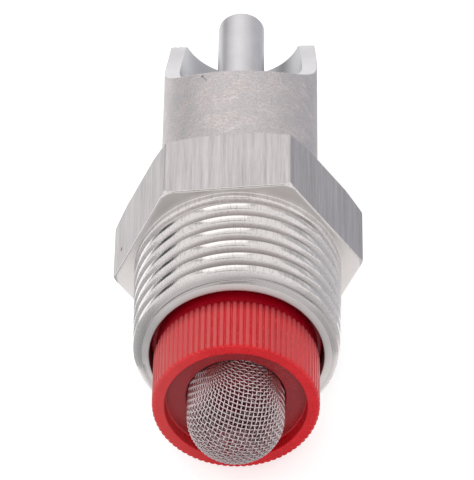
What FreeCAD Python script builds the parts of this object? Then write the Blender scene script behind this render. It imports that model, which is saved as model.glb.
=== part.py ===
import FreeCAD, Part
import math
import os
import re

import Sketcher

os.makedirs("parts", exist_ok=True)

# Sizes in mm, angles in degrees. The axis is Y: the inlet is at -Y and the mouth at +Y, with its open side
# up. y = 0 is the face of the hexagon that meets the pipe fitting.
SIZES = {
    # housing, outside
    "thread_radius": 10.4775,
    "thread_end": 12.8,
    "thread_chamfer": 1.07,
    "relief_radius": 9.3,
    "relief_width": 1.1,
    "hex_across_flats": 22.0,
    "hex_length": 8.5,
    "hex_near_edge": 12.42,
    "hex_far_edge": 11.49,
    "barrel_radius": 8.08,
    "mouth_end": 39.7,
    # housing, inside
    "inlet_radius": 8.6,
    "inlet_chamfer": 0.2,
    "chamber_radius": 6.6,
    "shoulder": 6.0,
    "seat": 4.0,
    "web": 2.0,
    "seat_hole_radius": 3.5,
    "mouth_radius": 6.48,
    # the scoop that opens the mouth on top
    "scoop_radius": 30.4,
    "scoop_along": 45.7,
    "scoop_height": 27.35,
    "mouth_turn": 3.05,
    # nipple pin
    "pin_radius": 2.45,
    "pin_end": 38.85,
    "pin_tip_chamfer": 0.25,
    "head_radius": 5.2,
    "head_back": 0.5,
    "head_chamfer": 0.4,
    "boss_radius": 2.9,
    "boss_height": 0.9,
    # seat seal
    "seal_thickness": 2.0,
    "seal_radius": 5.6,
    "seal_bore": 2.5,
    "seal_bevel": 0.3,
    # closing spring
    "spring_radius": 3.6,
    "spring_wire": 0.35,
    "spring_lift": 0.25,
    "active_turns": 3.25,
    # flow disc
    "disc_front": 10.5,
    "disc_back": 12.5,
    "spigot_radius": 2.9,
    "spigot_height": 1.0,
    "flow_hole_radius": 0.7,
    "flow_hole_circle": 1.6,
    # filter plug
    "rim": 20.12,
    "rib_radius": 8.24,
    "rib_root_radius": 8.02,
    "neck_radius": 7.95,
    "grip_end": 13.6,
    "collar_start": 11.2,
    "collar_radius": 8.58,
    "collar_bevel": 0.5,
    "cup_radius": 7.0,
    "floor": 18.7,
    "plug_bore": 4.88,
    "pocket_radius": 6.2,
    "flange_seat": 13.0,
    # strainer
    "mesh_radius": 4.72,
    "mesh_wall": 0.3,
    "mesh_flange": 6.1,
    "mesh_flange_thickness": 0.5,
    "knuckle_radius": 3.9,
    "crown_radius": 5.3,
    "knuckle_along": 21.8,
    "nose_flat": 0.3,
    "ridge_height": 0.12,
    "ridge_width": 0.3,
    "dome_pitch": 1.5,
    "gap_width": 0.8,
    "side_rings_pitch": 1.7,
}
RIBS = 80
COIL_STEPS = 12
FLAT_STEPS = 9
WIRE_SIDES = 8
FLOW_HOLES = 3
DOME_LINES = 5
SIDE_LINES = 12
SIDE_RINGS = 2

doc = FreeCAD.newDocument("drinker")


def write_sizes():
    """Puts the sizes in a sheet that every sketch and primitive reads."""
    sheet = doc.addObject("Spreadsheet::Sheet", "Sizes")
    for row, (name, value) in enumerate(SIZES.items(), start=1):
        sheet.set(f"A{row}", name)
        sheet.set(f"B{row}", str(value))
        sheet.setAlias(f"B{row}", name)
    doc.recompute()
    return sheet


def sized(text):
    """Turns the size names in an expression into references to the sheet."""
    return re.sub("[a-z_]+", lambda word: f"Sizes.{word[0]}" if word[0] in SIZES else word[0], text)


def origin_feature(body, role):
    return next(item for item in body.Origin.OriginFeatures if item.Role == role)


def bind(obj, path, text):
    obj.setExpression(path, sized(text))


def place_point(sketch, line, point, across, along):
    """Fixes one end of a line or an arc at two expressions, counted from the origin."""
    for kind, place, axis in (("DistanceX", across, -2), ("DistanceY", along, -1)):
        if place == "0":
            sketch.addConstraint(Sketcher.Constraint("PointOnObject", line, point, axis))
            continue
        value = sketch.evalExpression(sized(place))
        row = sketch.addConstraint(Sketcher.Constraint(kind, -1, 1, line, point, value))
        bind(sketch, f"Constraints[{row}]", place)


def short_arc(start, end, radius, side):
    """An arc of less than half a turn, left about its centre for side 1 and right about it for side -1."""
    half = (end - start) / 2
    across = FreeCAD.Vector(-half.y, half.x, 0).normalize() * math.sqrt(radius**2 - half.Length**2) * side
    centre = start + half + across
    if side < 0:
        start, end = end, start
    angles = [math.atan2(point.y - centre.y, point.x - centre.x) for point in (start, end)]
    return Part.ArcOfCircle(Part.Circle(centre, FreeCAD.Vector(0, 0, 1), radius), *angles)


def outline(body, name, corners, role="XY_Plane", arcs=None):
    """Draws a closed outline through the corners. arcs gives radius expressions and turning sides."""
    arcs = arcs or {}
    sketch = body.newObject("Sketcher::SketchObject", name)
    sketch.AttachmentSupport = [(origin_feature(body, role), "")]
    sketch.MapMode = "FlatFace"
    points = [
        FreeCAD.Vector(sketch.evalExpression(sized(across)), sketch.evalExpression(sized(along)), 0)
        for across, along in corners
    ]
    for index, start in enumerate(points):
        end = points[(index + 1) % len(points)]
        if index not in arcs:
            sketch.addGeometry(Part.LineSegment(start, end))
            continue
        radius = sketch.evalExpression(sized(arcs[index][0]))
        sketch.addGeometry(short_arc(start, end, radius, arcs[index][1]))
    starts = [2 if index in arcs and arcs[index][1] < 0 else 1 for index in range(len(points))]
    ends = [3 - start for start in starts]
    for index in range(len(points)):
        after = (index + 1) % len(points)
        sketch.addConstraint(Sketcher.Constraint("Coincident", index, ends[index], after, starts[after]))
    for index, (across, along) in enumerate(corners):
        if starts[index] == 1:
            place_point(sketch, index, 1, across, along)
        else:
            before = (index - 1) % len(points)
            place_point(sketch, before, ends[before], across, along)
    for index, (radius, _) in arcs.items():
        row = sketch.addConstraint(Sketcher.Constraint("Radius", index, sketch.evalExpression(sized(radius))))
        bind(sketch, f"Constraints[{row}]", radius)
    doc.recompute()
    return sketch


def turned(body, name, corners, arcs=None, cut=False):
    """Revolves an outline about Y, as material or as a cut."""
    sketch = outline(body, f"{name}_outline", corners, arcs=arcs)
    kind = "PartDesign::Groove" if cut else "PartDesign::Revolution"
    feature = body.newObject(kind, name)
    feature.Profile = sketch
    feature.ReferenceAxis = (sketch, ["V_Axis"])
    feature.Angle = 360
    doc.recompute()
    return feature


def volume_after(body):
    doc.recompute()
    return body.Shape.Volume


def new_body(name):
    body = doc.addObject("PartDesign::Body", name)
    body.Label = name
    return body


def housing():
    """One stainless piece turned from hexagon bar: inlet thread blank, hexagon, barrel and scooped mouth."""
    body = new_body("housing")
    hexagon(body)
    turned(body, "outside", [
        ("relief_radius * 0.6", "0 - thread_end"),
        ("thread_radius - thread_chamfer", "0 - thread_end"),
        ("thread_radius", "thread_chamfer - thread_end"),
        ("thread_radius", "0 - relief_width"),
        ("relief_radius", "(thread_radius - relief_radius) * 0.5 - relief_width"),
        ("relief_radius", "0.3"),
        ("barrel_radius", "0.3"),
        ("barrel_radius", "mouth_end"),
        ("relief_radius * 0.6", "mouth_end"),
    ])
    turned(body, "inlet_and_chamber", [
        ("0", "0 - thread_end - 1"),
        ("inlet_radius + inlet_chamfer", "0 - thread_end - 1"),
        ("inlet_radius + inlet_chamfer", "0 - thread_end"),
        ("inlet_radius", "inlet_chamfer - thread_end"),
        ("inlet_radius", "0 - shoulder"),
        ("chamber_radius", "0 - shoulder"),
        ("chamber_radius", "seat"),
        ("seat_hole_radius", "seat"),
        ("seat_hole_radius", "seat + web"),
        ("mouth_radius", "seat + web"),
        ("mouth_radius", "mouth_end + 1"),
        ("0", "mouth_end + 1"),
    ], cut=True)
    scoop(body)
    return body


def hexagon(body):
    """The hexagon with two flats level, its corners turned off at 30 degrees on both faces."""
    sketch = body.newObject("Sketcher::SketchObject", "hex_outline")
    sketch.AttachmentSupport = [(origin_feature(body, "XZ_Plane"), "")]
    sketch.MapMode = "FlatFace"
    flats = SIZES["hex_across_flats"]
    corner = flats / math.sqrt(3)
    points = [
        FreeCAD.Vector(corner * math.cos(math.radians(60 * k)), corner * math.sin(math.radians(60 * k)), 0)
        for k in range(6)
    ]
    for k in range(6):
        sketch.addGeometry(Part.LineSegment(points[k], points[(k + 1) % 6]))
    circle = sketch.addGeometry(Part.Circle(FreeCAD.Vector(0, 0, 0), FreeCAD.Vector(0, 0, 1), corner), True)
    for k in range(6):
        sketch.addConstraint(Sketcher.Constraint("Coincident", k, 2, (k + 1) % 6, 1))
        sketch.addConstraint(Sketcher.Constraint("PointOnObject", k, 1, circle))
    for k in range(5):
        sketch.addConstraint(Sketcher.Constraint("Equal", k, k + 1))
    sketch.addConstraint(Sketcher.Constraint("Coincident", circle, 3, -1, 1))
    sketch.addConstraint(Sketcher.Constraint("PointOnObject", 0, 1, -1))
    row = sketch.addConstraint(Sketcher.Constraint("Radius", circle, corner))
    bind(sketch, f"Constraints[{row}]", "hex_across_flats / sqrt(3)")
    pad = body.newObject("PartDesign::Pad", "hex_bar")
    pad.Profile = sketch
    bind(pad, "Length", "hex_length")
    doc.recompute()
    if body.Shape.BoundBox.YMax < 1:
        pad.Reversed = True
        doc.recompute()
    far = "hex_across_flats / sqrt(3) + 1"
    turned(body, "hex_near_corners", [
        ("hex_near_edge", "0"),
        (far, "(" + far + " - hex_near_edge) * 0.57735"),
        (far, "0 - 1"),
        ("hex_near_edge", "0 - 1"),
    ], cut=True)
    turned(body, "hex_far_corners", [
        ("hex_far_edge", "hex_length"),
        (far, "hex_length - (" + far + " - hex_far_edge) * 0.57735"),
        (far, "hex_length + 1"),
        ("hex_far_edge", "hex_length + 1"),
    ], cut=True)


def scoop(body):
    """Cuts the top of the barrel's end away with one round cutter whose axis lies across the part."""
    sketch = body.newObject("Sketcher::SketchObject", "scoop_outline")
    sketch.AttachmentSupport = [(origin_feature(body, "YZ_Plane"), "")]
    sketch.MapMode = "FlatFace"
    bind(sketch, "AttachmentOffset.Rotation.Angle", "mouth_turn")
    sketch.AttachmentOffset = FreeCAD.Placement(
        FreeCAD.Vector(0, 0, 0), FreeCAD.Rotation(FreeCAD.Vector(1, 0, 0), SIZES["mouth_turn"])
    )
    centre = FreeCAD.Vector(SIZES["scoop_along"], SIZES["scoop_height"], 0)
    circle = sketch.addGeometry(
        Part.Circle(centre, FreeCAD.Vector(0, 0, 1), SIZES["scoop_radius"])
    )
    for kind, name in (("DistanceX", "scoop_along"), ("DistanceY", "scoop_height")):
        row = sketch.addConstraint(Sketcher.Constraint(kind, -1, 1, circle, 3, SIZES[name]))
        bind(sketch, f"Constraints[{row}]", name)
    row = sketch.addConstraint(Sketcher.Constraint("Radius", circle, SIZES["scoop_radius"]))
    bind(sketch, f"Constraints[{row}]", "scoop_radius")
    before = volume_after(body)
    pocket = body.newObject("PartDesign::Pocket", "mouth_scoop")
    pocket.Profile = sketch
    pocket.Type = "Length"
    pocket.Midplane = True
    bind(pocket, "Length", "barrel_radius * 4")
    if volume_after(body) > before - 50:
        raise SystemExit("the scoop did not cut the mouth")


def nipple_pin():
    """The rod the animal bites, turned in one piece with the flat head that closes the valve."""
    body = new_body("nipple_pin")
    turned(body, "turned_pin", [
        ("0", "0 - head_back - boss_height"),
        ("boss_radius - 0.3", "0 - head_back - boss_height"),
        ("boss_radius", "0.3 - head_back - boss_height"),
        ("boss_radius", "0 - head_back"),
        ("head_radius - head_chamfer", "0 - head_back"),
        ("head_radius", "head_chamfer - head_back"),
        ("head_radius", "seat - seal_thickness"),
        ("pin_radius", "seat - seal_thickness"),
        ("pin_radius", "pin_end - pin_tip_chamfer"),
        ("pin_radius - pin_tip_chamfer", "pin_end"),
        ("0", "pin_end"),
    ])
    return body


def seat_seal():
    """Rubber ring on the stem, squeezed between the head and the seat."""
    body = new_body("seat_seal")
    turned(body, "moulded_ring", [
        ("seal_bore", "seat - seal_thickness"),
        ("seal_radius - seal_bevel", "seat - seal_thickness"),
        ("seal_radius", "seat - seal_thickness + seal_bevel"),
        ("seal_radius", "seat - seal_bevel"),
        ("seal_radius - seal_bevel", "seat"),
        ("seal_bore", "seat"),
    ])
    return body


def wire_section(step):
    """The wire's outline at one step: the end coils lie flat, and the wire rises evenly between them."""
    low = SIZES["spring_lift"] - SIZES["disc_front"]
    high = -SIZES["spring_lift"] - SIZES["head_back"]
    share = min(max((step - FLAT_STEPS) / (COIL_STEPS * SIZES["active_turns"]), 0), 1)
    turn = math.tau * step / COIL_STEPS
    outwards = FreeCAD.Vector(math.cos(turn), 0, math.sin(turn))
    along = FreeCAD.Vector(0, 1, 0)
    centre = outwards * SIZES["spring_radius"] + along * (low + share * (high - low))
    ring = []
    for k in range(WIRE_SIDES + 1):
        side = math.tau * (k % WIRE_SIDES) / WIRE_SIDES
        ring.append(centre + (outwards * math.cos(side) + along * math.sin(side)) * SIZES["spring_wire"])
    return Part.makePolygon(ring)


def closing_spring():
    """Stainless compression spring with closed, ground ends, from the flow disc to the pin's head.

    The rise changes along the wire, so it is one ruled loft and not a helix, cut flat at both ends.
    """
    steps = round(COIL_STEPS * SIZES["active_turns"]) + 2 * FLAT_STEPS
    coil = Part.makeLoft([wire_section(step) for step in range(steps + 1)], True, True)
    base = FreeCAD.Vector(0, -SIZES["disc_front"], 0)
    room = Part.makeCylinder(
        SIZES["spring_radius"] * 2, SIZES["disc_front"] - SIZES["head_back"], base, FreeCAD.Vector(0, 1, 0)
    )
    spring = doc.addObject("Part::Feature", "closing_spring")
    spring.Shape = coil.common(room)
    return spring


def flow_disc():
    """Plastic disc with flow holes that holds the strainer's flange down and carries the spring."""
    body = new_body("flow_disc")
    turned(body, "moulded_disc", [
        ("0", "0 - disc_back"),
        ("pocket_radius", "0 - disc_back"),
        ("pocket_radius", "0 - disc_front"),
        ("spigot_radius", "0 - disc_front"),
        ("spigot_radius - 0.3", "spigot_height - disc_front"),
        ("0", "spigot_height - disc_front"),
    ])
    sketch = body.newObject("Sketcher::SketchObject", "flow_holes_outline")
    sketch.AttachmentSupport = [(origin_feature(body, "XZ_Plane"), "")]
    sketch.MapMode = "FlatFace"
    hole = sketch.addGeometry(Part.Circle(
        FreeCAD.Vector(0, SIZES["flow_hole_circle"], 0), FreeCAD.Vector(0, 0, 1), SIZES["flow_hole_radius"]
    ))
    sketch.addConstraint(Sketcher.Constraint("PointOnObject", hole, 3, -2))
    for kind, text in (("DistanceY", "flow_hole_circle"), ("Radius", "flow_hole_radius")):
        value = SIZES[text]
        ends = (-1, 1, hole, 3, value) if kind == "DistanceY" else (hole, value)
        row = sketch.addConstraint(Sketcher.Constraint(kind, *ends))
        bind(sketch, f"Constraints[{row}]", text)
    pocket = body.newObject("PartDesign::Pocket", "flow_hole")
    pocket.Profile = sketch
    pocket.Type = "Length"
    pocket.Midplane = True
    bind(pocket, "Length", "disc_back * 2 + 2")
    doc.recompute()
    body.Tip = pocket
    ring = body.newObject("PartDesign::PolarPattern", "flow_holes")
    ring.Originals = [pocket]
    ring.Axis = (origin_feature(body, "Y_Axis"), [""])
    ring.Angle = 360
    ring.Occurrences = FLOW_HOLES
    body.Tip = ring
    doc.recompute()
    return body


def filter_plug():
    """Red moulded plug: ribbed grip outside the pipe thread, plain collar in the inlet, cup for the strainer."""
    body = new_body("filter_plug")
    turned(body, "plug_blank", [
        ("cup_radius", "0 - rim"),
        ("rib_radius + 0.05", "0 - rim"),
        ("rib_radius + 0.05", "0 - grip_end"),
        ("neck_radius", "0 - grip_end"),
        ("neck_radius", "0 - collar_start"),
        ("collar_radius - collar_bevel * 0.4", "0 - collar_start"),
        ("collar_radius", "collar_bevel - collar_start"),
        ("collar_radius", "0 - shoulder - collar_bevel"),
        ("collar_radius - collar_bevel", "0 - shoulder"),
        ("pocket_radius", "0 - shoulder"),
        ("pocket_radius", "0 - flange_seat"),
        ("plug_bore", "0 - flange_seat"),
        ("plug_bore", "0 - floor"),
        ("cup_radius", "0 - floor"),
    ])
    rib_grooves(body)
    return body


def rib_grooves(body):
    """V grooves round the grip. Neighbours meet in a crest at rib_radius, which leaves the ribs."""
    spread = math.tan(math.pi / RIBS)
    half = f"(rib_radius + 0.1 - rib_root_radius) * {spread:.6f} * rib_radius / (rib_radius - rib_root_radius)"
    sketch = outline(body, "rib_groove_outline", [
        ("rib_root_radius", "0"),
        ("rib_radius + 0.1", "0 - " + half),
        ("rib_radius + 0.1", half),
    ], role="XZ_Plane")
    neck = "(grip_end + collar_start) / 2"
    bind(sketch, "AttachmentOffset.Base.z", neck)
    groove = body.newObject("PartDesign::Pocket", "rib_groove")
    groove.Profile = sketch
    groove.Type = "Length"
    groove.Reversed = True
    bind(groove, "Length", "rim + 1 - " + neck)
    before = body.Shape.Volume
    if volume_after(body) > before - 0.1:
        raise SystemExit("the first rib groove did not cut the plug")
    body.Tip = groove
    ring = body.newObject("PartDesign::PolarPattern", "rib_grooves")
    ring.Originals = [groove]
    ring.Axis = (origin_feature(body, "Y_Axis"), [""])
    ring.Angle = 360
    ring.Occurrences = RIBS
    body.Tip = ring
    doc.recompute()


def nose(crown):
    """How far the small flat on the nose lies in front of the crown's centre."""
    return f" - sqrt({crown} * {crown} - nose_flat * nose_flat)"


def strainer_wall(body):
    """The thimble: crown, knuckle, straight side with the wires that lie round it, and turned-out flange."""
    inner_knuckle = "(knuckle_radius - mesh_wall)"
    inner_crown = "(crown_radius - mesh_wall)"
    centre = "(mesh_radius - knuckle_radius)"
    reach = "(crown_radius - knuckle_radius)"
    drop = f"sqrt({reach} * {reach} - {centre} * {centre})"
    crown_centre = f"({drop} - knuckle_along)"
    side = f" * {centre} / {reach}"
    down = f" * {drop} / {reach}"
    rings = []
    for k in range(SIDE_RINGS):
        low = f"side_rings_pitch * {k} - knuckle_along"
        rings += [
            ("mesh_radius", low),
            ("mesh_radius + ridge_height", low),
            ("mesh_radius + ridge_height", low + " + ridge_width"),
            ("mesh_radius", low + " + ridge_width"),
        ]
    last = 2 + len(rings) + 5
    turned(body, "strainer_wall", [
        ("0", crown_centre + nose(inner_crown)),
        ("0", crown_centre + nose("crown_radius")),
        ("nose_flat", crown_centre + nose("crown_radius")),
        ("crown_radius" + side, crown_centre + " - crown_radius" + down),
        *rings,
        ("mesh_radius", "0 - flange_seat"),
        ("mesh_flange", "0 - flange_seat"),
        ("mesh_flange", "mesh_flange_thickness - flange_seat"),
        ("mesh_radius - mesh_wall", "mesh_flange_thickness - flange_seat"),
        ("mesh_radius - mesh_wall", "0 - knuckle_along"),
        (inner_crown + side, f"{crown_centre} - {inner_crown}{down}"),
        ("nose_flat", crown_centre + nose(inner_crown)),
    ], arcs={
        2: ("crown_radius", 1),
        3: ("knuckle_radius", 1),
        last + 1: (inner_knuckle, -1),
        last + 2: (inner_crown, -1),
    })


def side_wires(body):
    """The wires that run along the straight side, as one ridge and its pattern."""
    sketch = outline(body, "side_wire_outline", [
        ("0 - ridge_width / 2", "mesh_radius - mesh_wall / 2"),
        ("ridge_width / 2", "mesh_radius - mesh_wall / 2"),
        ("ridge_width / 2", "mesh_radius + ridge_height * 0.6"),
        ("0 - ridge_width / 2", "mesh_radius + ridge_height * 0.6"),
    ], role="XZ_Plane")
    wire = body.newObject("PartDesign::Pad", "side_wire")
    wire.Profile = sketch
    bind(wire, "Length", "knuckle_along - floor")
    bind(sketch, "AttachmentOffset.Base.z", "floor")
    doc.recompute()
    body.Tip = wire
    ring = body.newObject("PartDesign::PolarPattern", "side_wires")
    ring.Originals = [wire]
    ring.Axis = (origin_feature(body, "Y_Axis"), [""])
    ring.Angle = 360
    ring.Occurrences = SIDE_LINES
    body.Tip = ring
    doc.recompute()


def opening(name, width, corner, turn=0.0):
    """A square prism bound to the sheet that cuts an opening between the wires."""
    box = doc.addObject("Part::Box", name)
    box.Placement = FreeCAD.Placement(
        FreeCAD.Vector(0, 0, 0), FreeCAD.Rotation(FreeCAD.Vector(0, 1, 0), turn)
    )
    for path, text in zip(("Length", "Width", "Height"), width):
        bind(box, path, text)
    for path, text in zip("xyz", corner):
        bind(box, f"Placement.Base.{path}", text)
    return box


def openings():
    """Openings in a square grid over the dome, and in rows between the wires of the straight side."""
    made = []
    half = DOME_LINES // 2 + 1
    nose_end = "0 - knuckle_along - crown_radius"
    crown_edge = SIZES["crown_radius"] * (SIZES["mesh_radius"] - SIZES["knuckle_radius"]) / (
        SIZES["crown_radius"] - SIZES["knuckle_radius"])
    for i in range(-half, half):
        for k in range(-half, half):
            if math.hypot(i + 0.5, k + 0.5) * SIZES["dome_pitch"] > crown_edge - SIZES["gap_width"] * 0.75:
                continue
            across, up = (f"dome_pitch * {n + 0.5} - gap_width / 2" for n in (i, k))
            made.append(opening(f"dome_gap_{i + half}_{k + half}", ("gap_width", "crown_radius - 0.3", "gap_width"),
                                (across, nose_end, up)))
    for row in range(SIDE_RINGS - 1):
        along = f"side_rings_pitch * {row + 0.5} + ridge_width / 2 - gap_width / 2 - knuckle_along"
        for k in range(SIDE_LINES // 2):
            turn = 180.0 * (k + 0.5) / (SIDE_LINES // 2)
            cosine, sine = (f"{f(math.radians(turn)):.6f}" for f in (math.cos, math.sin))
            made.append(opening(
                f"side_gap_{row}_{k}", ("mesh_radius * 2 + 2", "gap_width", "gap_width"),
                (f"0 - (mesh_radius + 1) * {cosine} - gap_width / 2 * {sine}", along,
                 f"(mesh_radius + 1) * {sine} - gap_width / 2 * {cosine}"), turn,
            ))
    return made


def strainer():
    """Woven stainless wire pressed to a thimble: a wall with wire ridges and openings, and a flange."""
    body = new_body("strainer_sheet")
    strainer_wall(body)
    side_wires(body)
    tools = doc.addObject("Part::MultiFuse", "gap_tools")
    tools.Shapes = openings()
    cut = doc.addObject("Part::Cut", "strainer")
    cut.Base = body
    cut.Tool = tools
    cut.Label = "strainer"
    doc.recompute()
    return cut


def main():
    write_sizes()
    made = {
        "housing": housing(),
        "nipple_pin": nipple_pin(),
        "seat_seal": seat_seal(),
        "closing_spring": closing_spring(),
        "flow_disc": flow_disc(),
        "filter_plug": filter_plug(),
        "strainer": strainer(),
    }
    doc.recompute()
    for obj in doc.Objects:
        bad = [word for word in obj.State if word in ("Invalid", "Error")]
        if bad:
            raise SystemExit(f"{obj.Name} is {bad}")
    for name, obj in made.items():
        shape = obj.Shape
        if shape.isNull() or not shape.isValid() or len(shape.Solids) != 1:
            raise SystemExit(f"{name} is not one valid solid: {len(shape.Solids)} solids")
        shape.exportStep(f"parts/{name}.step")
        box = shape.BoundBox
        print(name, round(shape.Volume, 2), [round(v, 2) for v in (
            box.XMin, box.XMax, box.YMin, box.YMax, box.ZMin, box.ZMax)])


main()
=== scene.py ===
import math

import bpy
import numpy as np
from mathutils import Matrix, Vector


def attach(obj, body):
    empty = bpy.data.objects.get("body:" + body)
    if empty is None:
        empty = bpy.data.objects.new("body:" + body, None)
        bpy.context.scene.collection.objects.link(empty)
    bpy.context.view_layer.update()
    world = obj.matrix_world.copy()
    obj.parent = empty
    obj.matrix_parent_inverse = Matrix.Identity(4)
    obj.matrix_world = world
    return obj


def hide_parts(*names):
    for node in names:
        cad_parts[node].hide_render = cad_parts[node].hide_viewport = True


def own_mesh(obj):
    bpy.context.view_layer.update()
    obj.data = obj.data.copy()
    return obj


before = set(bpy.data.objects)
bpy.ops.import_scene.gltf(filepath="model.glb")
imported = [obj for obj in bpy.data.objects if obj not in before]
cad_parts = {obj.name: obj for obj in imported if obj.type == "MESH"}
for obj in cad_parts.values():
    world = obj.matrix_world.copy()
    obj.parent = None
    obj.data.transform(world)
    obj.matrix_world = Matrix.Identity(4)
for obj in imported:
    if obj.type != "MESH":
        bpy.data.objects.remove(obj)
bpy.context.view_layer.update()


# Housing
# One stainless piece, turned and milled from 22 mm hexagon bar: half inch pipe thread, hexagon, barrel and
# a mouth scooped open on top. It screws into the pipe fitting and holds every other piece.
# Sizes are in mm: y runs along the axis, and angles go round it from +Z towards +X.
MM = 0.001
THREAD_RADIUS, THREAD_PITCH, FIRST_CREST = 10.4775, 1.814, -2.0
CREST_FLAT, CREST_ROUNDING, ROOT_ROUNDING, THREAD_DEPTH = 0.42, 0.28, 0.12, 0.85
FLANK_LEAN = math.radians(27.5)
END_Y, END_CHAMFER, END_LEAN, THREAD_TAPER = -12.8, 1.07, 0.2, 0.02
RELIEF_RADIUS, RELIEF_Y, RELIEF_SLOPE = 9.85, -1.12, 1.5
THREAD_GAP = 0.04
RING_RADIUS, RING_END = 10.42, -0.66
FLATS, HEX_LENGTH, HEX_NEAR_EDGE, HEX_FAR_EDGE = 22.0, 8.5, 12.42, 11.49
CORNER_RADIUS, NEAR_BREAK, FAR_BREAK = 0.22, 0.13, 0.16
HALF_SIDE = math.radians(30)
CHAMFER_SLOPE = math.tan(math.radians(30))
BARREL_RADIUS, MOUTH_RADIUS, MOUTH_END = 8.08, 6.48, 39.7
SCOOP_RADIUS, SCOOP_ALONG, SCOOP_HEIGHT = 30.4, 45.7, 27.35
SCOOP_TURN = math.radians(3.05)
EAR_BLEND, EAR_DROP, EAR_SPREAD = 1.1, 0.45, 14.0
LIP_RADII = (7.7, 7.28, 6.86)
INLET_RADIUS, CHAMBER_RADIUS, SEAT_HOLE = 8.6, 6.6, 3.5
SHOULDER_Y, SEAT_Y, WEB_Y = -6.0, 4.0, 6.0
NICK = [(-11.7, 2.45, 1.74), (-11.72, 2.7, 1.7)]
PIT = [(-3.21, 22.43, 7.41)]
SCRATCH = [(-3.1 + 0.08 * k, 22.2 - 0.17 * k, 7.46 + 0.03 * k) for k in range(5)]
PER_SIDE, CORNER_CROWDING = 50, 1.8
# how far out, in roundings, the rows stand that hold a face flat beside a rounded corner
HOLD = 1.6


def hex_angles():
    """Angles round the part, close together at the six corners of the hexagon."""
    step = np.arange(PER_SIDE) / PER_SIDE * 2 - 1
    offset = np.sign(step) * np.abs(step) ** CORNER_CROWDING * HALF_SIDE
    corners = HALF_SIDE + np.arange(6) * 2 * HALF_SIDE
    return (corners[:, None] + offset[None, :]).ravel()


def hex_radius(angle):
    """Distance from the axis to the hexagon's side, with its corners rounded a little."""
    off = np.abs((angle % (2 * HALF_SIDE)) - HALF_SIDE)
    flat = FLATS / 2 / np.cos(HALF_SIDE - off)
    centre = (FLATS / 2 - CORNER_RADIUS) / math.cos(HALF_SIDE)
    reach = math.atan2(CORNER_RADIUS * 0.5, centre + CORNER_RADIUS * math.cos(HALF_SIDE))
    arc = centre * np.cos(off) + np.sqrt(np.maximum(CORNER_RADIUS**2 - (centre * np.sin(off)) ** 2, 0))
    return np.where(off < reach, arc, flat)


def mouth_y(angle, radius):
    """Where the scoop or the end cuts a wall of that radius, rounded where the two meet.

    The end is cut a little out of square, so the ear on the +X side is shorter.
    """
    up = radius * np.cos(angle - SCOOP_TURN)
    scoop = SCOOP_ALONG - np.sqrt(np.maximum(SCOOP_RADIUS**2 - (SCOOP_HEIGHT - up) ** 2, 0))
    end = MOUTH_END - EAR_DROP * np.clip(0.5 + radius * np.sin(angle) / EAR_SPREAD, 0, 1)
    share = np.clip(0.5 + 0.5 * (scoop - end) / EAR_BLEND, 0, 1)
    return scoop * (1 - share) + end * share - EAR_BLEND * share * (1 - share)


def mouth_angles(count):
    """Angles at even steps along the edge of the mouth, the first one nearest the first corner."""
    fine = np.linspace(0, math.tau, 7201)
    edge = mouth_y(fine, BARREL_RADIUS)
    points = np.stack([BARREL_RADIUS * np.sin(fine), edge, BARREL_RADIUS * np.cos(fine)])
    run = np.concatenate([[0], np.cumsum(np.linalg.norm(np.diff(points), axis=0))])
    return np.interp(np.arange(count) / count * run[-1], run, fine)


def thread_form():
    """One turn of the thread's section as (share of the pitch, radius), from crest to crest.

    The crests are flat with rounded shoulders, the flanks lean 27.5 degrees and the roots are round.
    """
    side = [(0, 0), (CREST_FLAT / 2, 0)]
    for turned in (10, 30, 50, 62.5):
        turn = math.radians(turned)
        side.append((CREST_FLAT / 2 + CREST_ROUNDING * math.sin(turn), CREST_ROUNDING * (1 - math.cos(turn))))
    start, top = side[-1]
    drop = THREAD_DEPTH - top - ROOT_ROUNDING * (1 - math.sin(FLANK_LEAN))
    for share in (0.15, 0.85, 1):
        side.append((start + share * drop * math.tan(FLANK_LEAN), top + share * drop))
    foot = side[-1][0]
    side.append((foot + ROOT_ROUNDING * math.cos(FLANK_LEAN), THREAD_DEPTH))
    near = [(along / THREAD_PITCH, THREAD_RADIUS - depth) for along, depth in side]
    return near + [(1 - along, radius) for along, radius in near[:0:-1]]


def bevelled(stations):
    """Rows through the stations, each a (angle, y, radius, rounding, finish), with the corners rounded.

    Two rows hold the faces flat beside each rounding. finish belongs to the face after the station.
    """
    rows = []
    for k, (angle, y, radius, rounding, finish) in enumerate(stations):
        here = np.stack([y, radius])
        if rounding == 0 or k in (0, len(stations) - 1):
            rows.append((angle, y, radius, finish))
            continue
        before = np.stack(stations[k - 1][1:3]) - here
        after = np.stack(stations[k + 1][1:3]) - here
        sides = []
        for side in (before, after):
            length = np.maximum(np.linalg.norm(side, axis=0), 1e-9)
            sides.append(side / length * np.minimum(rounding, length * 0.3))
        finish_before = stations[k - 1][4]
        rows.append((angle, *(here + sides[0] * HOLD), finish_before))
        for share in (0, 1 / 3, 2 / 3, 1):
            point = here + sides[0] * (1 - share) ** 2 + sides[1] * share**2
            rows.append((angle, *point, finish_before if share < 0.5 else finish))
        rows.append((angle, *(here + sides[1] * HOLD), finish))
    return rows


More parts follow.
